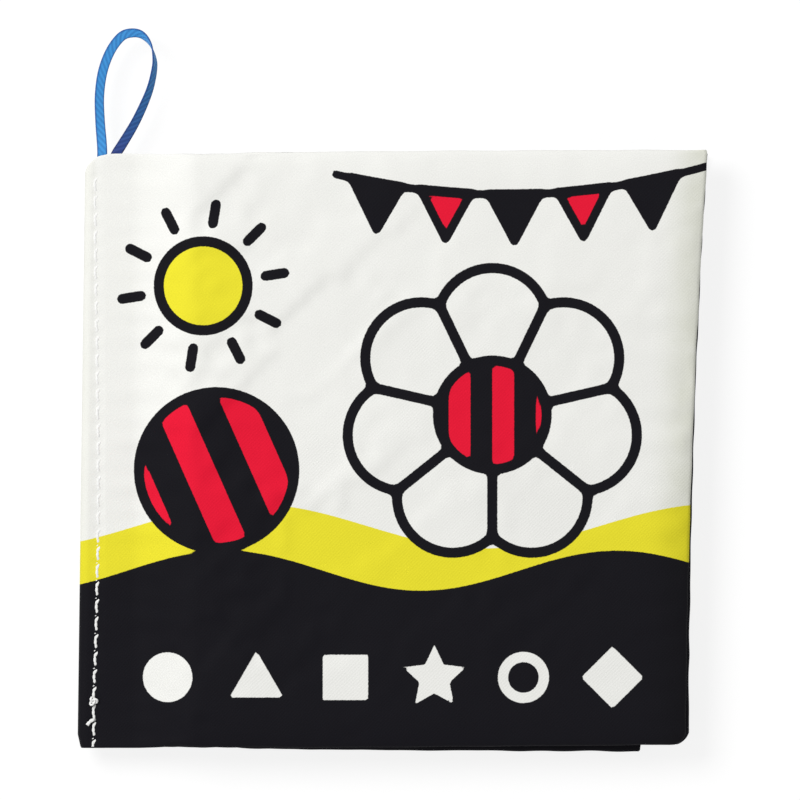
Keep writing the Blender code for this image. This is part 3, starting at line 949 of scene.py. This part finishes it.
def add_front_cover():
    """The front cover with the spine fold of the outer spread, down to the lower hinge."""
    leaf = FRONT_COVER
    faces, up = filled_leaf(leaf, COVER_PARTS, TAB_START_X)
    path = spine_path(HINGE_X - BEND, BACK_COVER.tab_low, leaf.tab_high, leaf.fold_x, TAB_START_X)
    fold = spine_faces(leaf, path, leaf.tab_high - leaf.tab_low, up, True)
    add_cloth(
        "front_cover_cloth", after_fold(fold, faces), cover_print, ring_print,
        bodies=("first_leaf", "front_cover"), bend=(HINGE_X - BEND, HINGE_X + BEND),
        replaced=(
            "front_cover_outer_cloth", "front_cover_inner_cloth", "cover_outer_spine_fold",
            "cover_lining_spine_fold",
        ),
    )


def add_first_leaf():
    """The first leaf with the spine fold of the inner spread, down to the lower hinge. The cloth's
    thickness grows along the upper arm, from the second leaf's to its own."""
    leaf = FIRST_LEAF
    faces, up = filled_leaf(leaf, LEAF_PARTS, TAB_START_X)
    path = spine_path(HINGE_X - BEND, SECOND_LEAF.tab_low, leaf.tab_high, leaf.fold_x, TAB_START_X)
    thin = SECOND_LEAF.tab_high - SECOND_LEAF.tab_low
    thick = leaf.tab_high - leaf.tab_low
    on_top = path[:, 3] == 1.0
    arm_start = path[on_top, 0].min()
    growth = smooth((path[:, 0] - arm_start) / (TAB_START_X - arm_start)) * on_top
    thickness = thin + (thick - thin) * growth
    fold = spine_faces(leaf, path, thickness[:, None], up, False)
    add_cloth(
        "first_leaf_cloth", after_fold(fold, faces), stripe_print, dot_print,
        bodies=("first_leaf",), bend=None,
        replaced=(
            "first_leaf_front_cloth", "first_leaf_back_cloth", "pages_outer_spine_fold",
            "pages_inner_spine_fold",
        ),
    )


def add_second_leaf():
    faces, _ = filled_leaf(SECOND_LEAF, LEAF_PARTS, HINGE_X - BEND)
    add_cloth(
        "second_leaf_cloth", faces, check_print, zigzag_print,
        bodies=("second_leaf", "first_leaf"), bend=(HINGE_X + BEND, HINGE_X - BEND),
        replaced=("second_leaf_front_cloth", "second_leaf_back_cloth"),
    )


def add_back_cover():
    faces, _ = filled_leaf(BACK_COVER, LEAF_PARTS, HINGE_X)
    add_cloth(
        "back_cover_cloth", faces, star_print, back_print,
        bodies=("back_cover", "second_leaf"), bend=(HINGE_X + BEND, HINGE_X),
        replaced=("back_cover_outer_cloth", "back_cover_inner_cloth"),
    )


def add_back_hinge():
    """The narrow strip of the outer spread that bends behind the spine when the first leaf opens."""
    leaf = BACK_COVER
    steps = np.linspace(HINGE_X, HINGE_X - BEND, BEND_STEPS)
    path = np.array([(x, leaf.tab_low, 0.0, -1.0) for x in steps])
    up = refined(up_shares(), LEAF_PARTS)
    faces = spine_faces(leaf, path, leaf.tab_high - leaf.tab_low, up, True)
    add_cloth(
        "back_hinge_cloth", faces, back_print, star_print,
        bodies=("second_leaf", "first_leaf"), bend=(HINGE_X, HINGE_X - BEND),
        replaced=(),
    )


# Hang loop

def loop_route():
    """The tape's middle line as (x, y, share of half a turn), from foot to foot."""
    foot_y = PAGE_TOP_Y - LOOP_TUCK
    left_x = SPINE_X + LOOP_FROM_SPINE
    rows = [(left_x, foot_y, 0.0)]
    for across, up, turn in LOOP_ROUTE_SHARES:
        rows.append((left_x + across * LOOP_WIDTH, PAGE_TOP_Y + up * LOOP_HEIGHT, turn))
    rows.append((left_x + TAPE_WIDTH + 2 * CLEARANCE, foot_y, 1.0))
    return refined(np.array(rows), LOOP_STEPS)


def drawn_out(values, power):
    """Values between -1 and 1 raised to a power, each with its own sign."""
    return np.sign(values) * np.abs(values) ** power


def add_hang_loop():
    """A narrow woven tape with rounded selvedges, turned half over on its way round."""
    route = loop_route()
    along = directions(route[:, :2])
    run = travelled(route[:, :2])[:, None]
    turn = -route[:, 2, None] * math.pi
    up = np.array([0.0, 0.0, 1.0])
    side = np.stack([along[:, 1], -along[:, 0], np.zeros(len(route))], axis=-1)
    width_way = side * np.cos(turn) + up * np.sin(turn)
    thick_way = up * np.cos(turn) - side * np.sin(turn)
    angles = np.linspace(0, math.tau, TAPE_SIDES + 1)
    flatness = drawn_out(np.cos(angles), TAPE_FLAT_POWER)
    bead = 1 + BEAD_HEIGHT * np.exp(-(((np.abs(flatness) - BEAD_PLACE) / BEAD_WIDTH) ** 2))
    across = flatness * TAPE_WIDTH * HALF
    thick = drawn_out(np.sin(angles), TAPE_SWELL_POWER) * TAPE * HALF * bead
    centre = route.copy()
    centre[:, 2] = (FIRST_LEAF.tab_low + FIRST_LEAF.tab_high) * HALF
    places = centre[:, None] + width_way[:, None] * across[:, None] + thick_way[:, None] * thick[:, None]
    weave = np.stack(np.broadcast_arrays(run, across), axis=-1)
    # The back face is a darker blue; toward the second foot, painted shade darkens it further
    towards_foot = smooth((run / run[-1] - TAPE_SHADE_FROM_SHARE) / (1 - TAPE_SHADE_FROM_SHARE))
    reverse_tone_and_shade = (thick < 0) * (TAPE_REVERSE_LEAST + (1 - TAPE_REVERSE_LEAST) * towards_foot)
    tape = sewn("hang_loop_tape", [cloth_grid(places, True, {"reverse_tone_and_shade": reverse_tone_and_shade}, weave)])
    edited(tape, OUTWARD)
    tape.data.materials.append(woven_tape())
    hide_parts("hang_loop")
    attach(tape, "first_leaf")


# Spine stitching

def twisted_pair(line):
    """Two plies twisted round a thread's middle line, given as (points, 3)."""
    run = travelled(line)
    along = directions(line)
    side = np.cross(along, [0.0, 0.0, 1.0])
    side /= np.maximum(np.linalg.norm(side, axis=1, keepdims=True), TINY)
    over = np.cross(side, along)
    plies = []
    for start in (0.0, math.pi):
        angle = (start + run / PLY_TURN * math.tau)[:, None]
        offset = side * np.cos(angle) + over * PLY_PRESSED * np.sin(angle)
        plies.append(line + offset * PLY_OFFSET)
    return plies


def placed(name, data):
    """A new object in the scene that shows this data."""
    thing = bpy.data.objects.new(name, data)
    bpy.context.scene.collection.objects.link(thing)
    return thing


def add_threads(name, lines, body, node):
    """Threads as round strands, in one mesh that stands for a CAD node."""
    data = bpy.data.curves.new(name, "CURVE")
    data.dimensions = "3D"
    data.bevel_depth = 1.0
    data.bevel_resolution = 1
    data.use_fill_caps = True
    for points, radius in lines:
        strand = data.splines.new("POLY")
        strand.points.add(len(points) - 1)
        for point, place in zip(strand.points, points):
            point.co = (*place, 1)
            point.radius = radius
    select_only(placed(name, data))
    bpy.ops.object.convert(target="MESH")
    piece = bpy.context.object
    edited(piece, MERGED, OUTWARD)
    piece.data.shade_smooth()
    piece.data.materials.clear()
    piece.data.materials.append(thread)
    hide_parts(node)
    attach(piece, body)


def stitch_lines(face_z, side):
    """The plies of every stitch on one face of the spine, out from it by side."""
    draw = np.random.default_rng(STITCH_SEED)
    count = int((FLANGE_TOP_Y - STITCH_END_GAP - STITCH_START_Y) / STITCH_PITCH)
    route = refined(np.array(STITCH_ROUTE) * MM, STITCH_PARTS)
    loop = refined(np.array(LOCK_ROUTE) * MM, STITCH_PARTS)
    lines = []
    for k in range(-1, count):
        low_y = STITCH_START_Y + k * STITCH_PITCH
        shape = route * [draw.uniform(0.8, 1.2), 1, 1] + [draw.normal(0, 0.04) * MM, 0, 0]
        y = low_y + shape[:, 1]
        kept = y > PAGE_LOW_Y + STITCH_END_GAP * HALF
        line = np.stack([seam_x(y) + shape[:, 0], y, face_z + side * shape[:, 2]], axis=-1)[kept]
        for ply in twisted_pair(line):
            lines.append((ply, PLY_RADIUS))
        if k >= 0:
            lock = loop * [draw.uniform(0.7, 1.1), draw.uniform(0.4, 1.3), side]
            lines.append((lock + [seam_x(low_y), low_y, face_z], PLY_RADIUS * LOCK_SHARE))
    return lines


def knot_lines(face_z):
    """Where the seam is fastened off: a small knot, and a cut end that stands off to the side."""
    angle = np.linspace(0, math.tau, KNOT_POINTS)
    x = (np.sin(angle) + 2 * np.sin(2 * angle)) * KNOT_WIDTH
    y = (np.cos(angle) - 2 * np.cos(2 * angle)) * KNOT_HEIGHT
    c, s = math.cos(KNOT_TURN), math.sin(KNOT_TURN)
    over = np.stack([x * c + y * s, y * c - x * s, -np.sin(3 * angle) * PLY_RADIUS], axis=-1)
    lines = [(over + [KNOT_X, KNOT_Y, face_z + 2 * PLY_RADIUS], PLY_RADIUS)]
    end = refined(np.array(CUT_END_ROUTE) * MM, CUT_END_PARTS) + [0, 0, face_z]
    for ply in twisted_pair(end):
        lines.append((ply, PLY_RADIUS * CUT_END_SHARE))
    return lines


def add_stitching():
    front_z = FRONT_COVER.tab_high
    back_z = BACK_COVER.tab_low
    lines = stitch_lines(front_z, 1) + knot_lines(front_z)
    add_threads("spine_stitches_front", lines, "first_leaf", "spine_stitching_front")
    add_threads("spine_stitches_back", stitch_lines(back_z, -1), "first_leaf", "spine_stitching_back")


# Materials

POLYESTER_THREAD = 0.42 * MM
TWILL_RIB = 0.48 * MM
TWILL_TURN = math.radians(-50)
# Painted shade on the tape grows from this far out from its middle to this far
SELVEDGE_SHADE_START = 0.32 * TAPE_WIDTH
SELVEDGE_SHADE_END = 0.47 * TAPE_WIDTH
INK_FEATHER = 0.06 * MM
INK_WANDER = 0.10 * MM
# How far painted shade reaches in from the fore edge and from the fold, and its share beside the fold
PAINTED_SHADE_FORE_REACH = 11 * MM
PAINTED_SHADE_FOLD_REACH = 3.5 * MM
PAINTED_SHADE_FOLD_SHARE = 0.4


def colour(code):
    """A colour written as sRGB hex, turned to linear."""
    channels = [int(code[k : k + 2], 16) / 255 for k in (1, 3, 5)]
    linear = [c / 12.92 if c <= 0.04045 else ((c + 0.055) / 1.055) ** 2.4 for c in channels]
    return (*linear, 1.0)


def new_material(name):
    material = bpy.data.materials.new(name)
    material.use_nodes = True
    return material, material.node_tree


def set_inputs(tree, node, inputs):
    """Give a node's sockets, by name or number, a value or a link from another node's output."""
    for key, value in inputs.items():
        if isinstance(value, bpy.types.NodeSocket):
            tree.links.new(value, node.inputs[key])
        else:
            node.inputs[key].default_value = value


def add_node(tree, kind, inputs, output=0, **settings):
    """Add a shader node of this kind with its inputs and settings, and give one of its outputs."""
    node = tree.nodes.new("ShaderNode" + kind)
    for key, value in settings.items():
        setattr(node, key, value)
    set_inputs(tree, node, inputs)
    return node.outputs[output]


def sine(tree, source, spacing):
    """A wave from -1 to 1 whose crests and hollows lie this far apart."""
    angle = add_node(tree, "Math", {0: source, 1: math.pi / spacing}, operation="MULTIPLY")
    return add_node(tree, "Math", {0: angle}, operation="SINE")


def woven(tree, place, spacing):
    """Heights of a plain weave with threads this far apart, from 0 to 1."""
    parts = add_node(tree, "SeparateXYZ", {"Vector": place}).node.outputs
    warp, weft = sine(tree, parts[0], spacing), sine(tree, parts[1], spacing)
    both = add_node(tree, "Math", {0: warp, 1: weft}, operation="MULTIPLY")
    return add_node(tree, "Math", {0: both, 1: HALF, 2: HALF}, operation="MULTIPLY_ADD")


def twilled(tree, place, spacing, turn):
    """Heights of a twill whose diagonal ribs and hollows lie this far apart, from 0 to 1."""
    laid = add_node(tree, "Mapping", {"Vector": place, "Rotation": (0, 0, turn)})
    ribs = sine(tree, add_node(tree, "SeparateXYZ", {"Vector": laid}), spacing)
    return add_node(tree, "Math", {0: ribs, 1: HALF, 2: HALF}, operation="MULTIPLY_ADD")


def tinted(tree, shade, pattern, code, blend="MIX", least=0.0, most=1.0):
    """A shade with a colour blended in, by a share that follows a pattern from least to most."""
    share = {0: pattern, 1: most - least, 2: least}
    share = add_node(tree, "Math", share, operation="MULTIPLY_ADD")
    colours = {0: share, 6: shade, 7: colour(code)}
    return add_node(tree, "Mix", colours, 2, data_type="RGBA", blend_type=blend)


def finish(tree, shade, height, bump, grain, rough, others):
    """Fill the sockets of a material's shader. Where rough is a pair, the roughness follows the
    grain between its two values."""
    depth, strength = bump
    if isinstance(rough, tuple):
        share = {0: grain, 1: rough[1] - rough[0], 2: rough[0]}
        rough = add_node(tree, "Math", share, operation="MULTIPLY_ADD")
    bumps = add_node(tree, "Bump", {"Height": height, "Strength": strength, "Distance": depth})
    inputs = {"Base Color": shade, "Roughness": rough, "Normal": bumps, **others}
    set_inputs(tree, tree.nodes["Principled BSDF"], inputs)


def printed_polyester():
    """Printed polyester, woven and heat-printed: a matt, slightly grainy face with a soft sheen, inks
    that sink in and feather at their edges, threads 0.42 mm apart that show as fine grain. Painted shade
    greys it toward the fore edge, where the face rounds away, and faintly beside the fold; by the fore
    edge it stands partly for the seam's folded-in edge showing through."""
    material, tree = new_material("printed_polyester")
    place = add_node(tree, "UVMap", {}, uv_map="weave")
    weave = woven(tree, place, POLYESTER_THREAD)
    sizes = ((0.25 * MM, 2.0), (1.6 * MM, 3.0), (28 * MM, 1.0), (0.5 * MM, 2.0), (5 * MM, 2.0))
    grain, slub, cloud, blot, patch = (
        add_node(tree, "TexNoise", {"Vector": place, "Scale": 1 / size, "Detail": detail})
        for size, detail in sizes
    )
    wander = {0: blot, 1: 2 * INK_WANDER, 2: -INK_WANDER}
    wander = add_node(tree, "Math", wander, operation="MULTIPLY_ADD")
    shade = colour("#f7f7f3")
    for ink, code in (("yellow_ink", "#f1e734"), ("red_ink", "#ee1839"), ("black_ink", "#100f15")):
        distance = add_node(tree, "Attribute", {}, "Fac", attribute_name=ink)
        moved = add_node(tree, "Math", {0: distance, 1: wander}, operation="ADD")
        edge = {"Value": moved, "From Min": INK_FEATHER, "From Max": -INK_FEATHER}
        colours = {0: add_node(tree, "MapRange", edge), 6: shade, 7: colour(code)}
        shade = add_node(tree, "Mix", colours, 2, data_type="RGBA")
    shade = tinted(tree, shade, weave, "#777777", "OVERLAY", 0.0, 0.16)
    shade = tinted(tree, shade, grain, "#8a8a88", "MULTIPLY", -0.08, 0.24)
    shade = tinted(tree, shade, cloud, "#9c9c9a", "MULTIPLY", 0.0, 0.06)
    # Painted shade toward the fore edge and beside the fold, broken up by a noise that stands for faint
    # wrinkles; by the fore edge it is partly the seam's folded-in edge showing through
    painted_edge_shade = add_node(tree, "Attribute", {}, "Fac", attribute_name="painted_edge_shade")
    uneven = add_node(tree, "Math", {0: patch, 1: HALF}, operation="ADD")
    painted_shade_amount = {0: painted_edge_shade, 1: uneven}
    painted_shade_amount = add_node(tree, "Math", painted_shade_amount, operation="MULTIPLY", use_clamp=True)
    shade = tinted(tree, shade, painted_shade_amount, "#eeefe7", "MULTIPLY")
    height = add_node(tree, "Math", {0: slub, 1: 0.8, 2: weave}, operation="MULTIPLY_ADD")
    others = {"Sheen Weight": 0.015, "Sheen Roughness": 0.4, "Specular IOR Level": 0.09}
    finish(tree, shade, height, (0.05 * MM, 0.55), grain, (0.62, 0.86), others)
    return material


def woven_tape():
    """Woven polyester tape: a narrow twill, soft diagonal ribs 1 mm apart and beaded selvedges, its
    back face a darker blue. Painted shade darkens the back face further toward the second foot, and
    darkens both selvedges where the tape rounds away."""
    material, tree = new_material("woven_polyester_tape")
    place = add_node(tree, "UVMap", {}, uv_map="weave")
    ribs = twilled(tree, place, TWILL_RIB, TWILL_TURN)
    grain = add_node(tree, "TexNoise", {"Vector": place, "Scale": 1 / (0.3 * MM), "Detail": 2.0})
    reverse_tone_and_shade = add_node(tree, "Attribute", {}, "Fac", attribute_name="reverse_tone_and_shade")
    # The back face's darker blue, deepened by painted shade toward the second foot
    shade = tinted(tree, colour("#48a4e8"), reverse_tone_and_shade, "#2f3d86")
    shade = tinted(tree, shade, ribs, "#1d4f96", "MULTIPLY", 0.05, 0.35)
    shade = tinted(tree, shade, grain, "#7a8088", "SOFT_LIGHT", 0.0, 0.3)
    # Painted shade: darker toward both selvedges, where the tape rounds away from the light
    across = add_node(tree, "SeparateXYZ", {"Vector": place}, 1)
    across = add_node(tree, "Math", {0: across}, operation="ABSOLUTE")
    edge = {"Value": across, "From Min": SELVEDGE_SHADE_START, "From Max": SELVEDGE_SHADE_END}
    shade = tinted(tree, shade, add_node(tree, "MapRange", edge), "#7f8fb4", "MULTIPLY")
    others = {"Sheen Weight": 0.05, "Specular IOR Level": 0.3}
    finish(tree, shade, ribs, (0.06 * MM, 0.8), grain, (0.5, 0.75), others)
    return material


def one_pattern(name, kind, texture, shades, bump, rough, others):
    """A material whose shade, bumps and roughness follow one pattern."""
    material, tree = new_material(name)
    place = add_node(tree, "TexCoord", {}, "Object")
    pattern = add_node(tree, kind, {"Vector": place, **texture})
    dark, light = shades
    shade = tinted(tree, colour(dark), pattern, light)
    finish(tree, shade, pattern, bump, pattern, rough, others)
    return material


def spun_thread():
    """Spun polyester sewing thread: white and slightly hairy, so it catches light without a highlight."""
    return one_pattern(
        "spun_polyester_thread", "TexNoise", {"Scale": 1 / (0.12 * MM), "Detail": 3.0},
        ("#e6e6e3", "#fdfdfc"), (0.04 * MM, 0.6), (0.6, 0.85), {"Sheen Weight": 0.08},
    )


def polyester_batting():
    """Needled polyester batting: loose white fibres with soft hollows between them."""
    return one_pattern(
        "polyester_batting", "TexNoise", {"Scale": 1 / (1.4 * MM), "Detail": 5.0},
        ("#cfcfcb", "#fafaf8"), (0.5 * MM, 0.8), 0.95, {"Sheen Weight": 0.3},
    )


def crinkle_film():
    """Thin clear BOPP film: creased, so its gloss breaks into small facets."""
    return one_pattern(
        "clear_crinkle_film", "TexVoronoi", {"Scale": 1 / (4 * MM)},
        ("#dfe6ea", "#f6fafc"), (0.4 * MM, 0.7), 0.15, {"IOR": 1.49, "Alpha": 0.5},
    )


def finish_inner_parts():
    """Finishes for what the leaves hold inside: batting, film and the thread of their edge seams."""
    finishes = {"_padding": polyester_batting(), "_crinkle_film": crinkle_film(), "_edge_thread": thread}
    for name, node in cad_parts.items():
        for ending, finish in finishes.items():
            if name.endswith(ending):
                node.data.materials.clear()
                node.data.materials.append(finish)


# Camera, lights and floor

PIXELS = 800
PIXELS_PER_MM = 4.45
ORIGIN_PIXEL = (385.5, 450.5)
LENS = 800.0
SENSOR = 36.0
WORLD_LIGHT = 0.39
KEY_PLACE = (-0.66, 0.50, 1.25)
KEY_SIZE = 0.7
KEY_POWER = 16.5
FLOOR_SIZE = 8.0
FLOOR_SHADE = 0.19
FLOOR_LIFT = 0.84


def add_camera(cover_z):
    """A long lens straight above, so that the cover has the photograph's scale and place."""
    width = PIXELS / PIXELS_PER_MM * MM
    data = bpy.data.cameras.new("camera")
    data.lens = LENS
    data.sensor_width = SENSOR
    camera = placed("camera", data)
    x = (PIXELS * HALF - ORIGIN_PIXEL[0]) / PIXELS_PER_MM * MM
    y = (ORIGIN_PIXEL[1] - PIXELS * HALF) / PIXELS_PER_MM * MM
    distance = width * LENS / SENSOR
    camera.location = (x, y, cover_z + distance)
    data.clip_start = distance * 0.1
    data.clip_end = distance * 10
    bpy.context.scene.camera = camera


def add_area_light(name, place, aim, size, power):
    data = bpy.data.lights.new(name, "AREA")
    data.shape = "DISK"
    data.size = size
    data.energy = power
    light = placed(name, data)
    light.location = place
    light.rotation_euler = (Vector(aim) - Vector(place)).to_track_quat("-Z", "Y").to_euler()


def seen_directly(tree):
    """1 for what the camera sees, in gloss and through clear things too, and 0 for other light."""
    rays = add_node(tree, "LightPath", {}).node.outputs
    seen = {0: rays["Is Camera Ray"], 1: rays["Is Glossy Ray"]}
    seen = {0: add_node(tree, "Math", seen, operation="ADD"), 1: rays["Is Transmission Ray"]}
    return add_node(tree, "Math", seen, operation="ADD", use_clamp=True)


def add_floor():
    """A matt white board, lifted to white where the camera sees it, with a part of its shadow kept."""
    bpy.ops.mesh.primitive_plane_add(size=FLOOR_SIZE, location=(0, 0, 0))
    floor = bpy.context.object
    floor.name = "floor"
    material, tree = new_material("matt_white_board")
    board = tree.nodes["Principled BSDF"]
    set_inputs(tree, board, {"Base Color": colour("#f4f4f4"), "Roughness": 0.9})
    shaded = add_node(tree, "BsdfDiffuse", {"Color": (FLOOR_SHADE,) * 3 + (1.0,)})
    lifted = add_node(tree, "Emission", {"Strength": FLOOR_LIFT})
    both = add_node(tree, "AddShader", {0: shaded, 1: lifted})
    mix = add_node(tree, "MixShader", {0: seen_directly(tree), 1: board.outputs[0], 2: both})
    set_inputs(tree, tree.nodes["Material Output"], {"Surface": mix})
    floor.data.materials.append(material)


def add_world():
    """Even light from all round, seen as white."""
    world = bpy.data.worlds.new("studio")
    world.use_nodes = True
    tree = world.node_tree
    strength = {0: seen_directly(tree), 1: 1.0 - WORLD_LIGHT, 2: WORLD_LIGHT}
    strength = add_node(tree, "Math", strength, operation="MULTIPLY_ADD")
    set_inputs(tree, tree.nodes["Background"], {"Color": (1, 1, 1, 1), "Strength": strength})
    bpy.context.scene.world = world


cloth = printed_polyester()
thread = spun_thread()
add_front_cover()
add_first_leaf()
add_second_leaf()
add_back_cover()
add_back_hinge()
add_hang_loop()
add_stitching()
finish_inner_parts()

add_camera(cad_high.z)
add_floor()
add_world()
add_area_light("key", KEY_PLACE, (0, 0, 0), KEY_SIZE, KEY_POWER)
bpy.context.scene.view_settings.view_transform = "Standard"
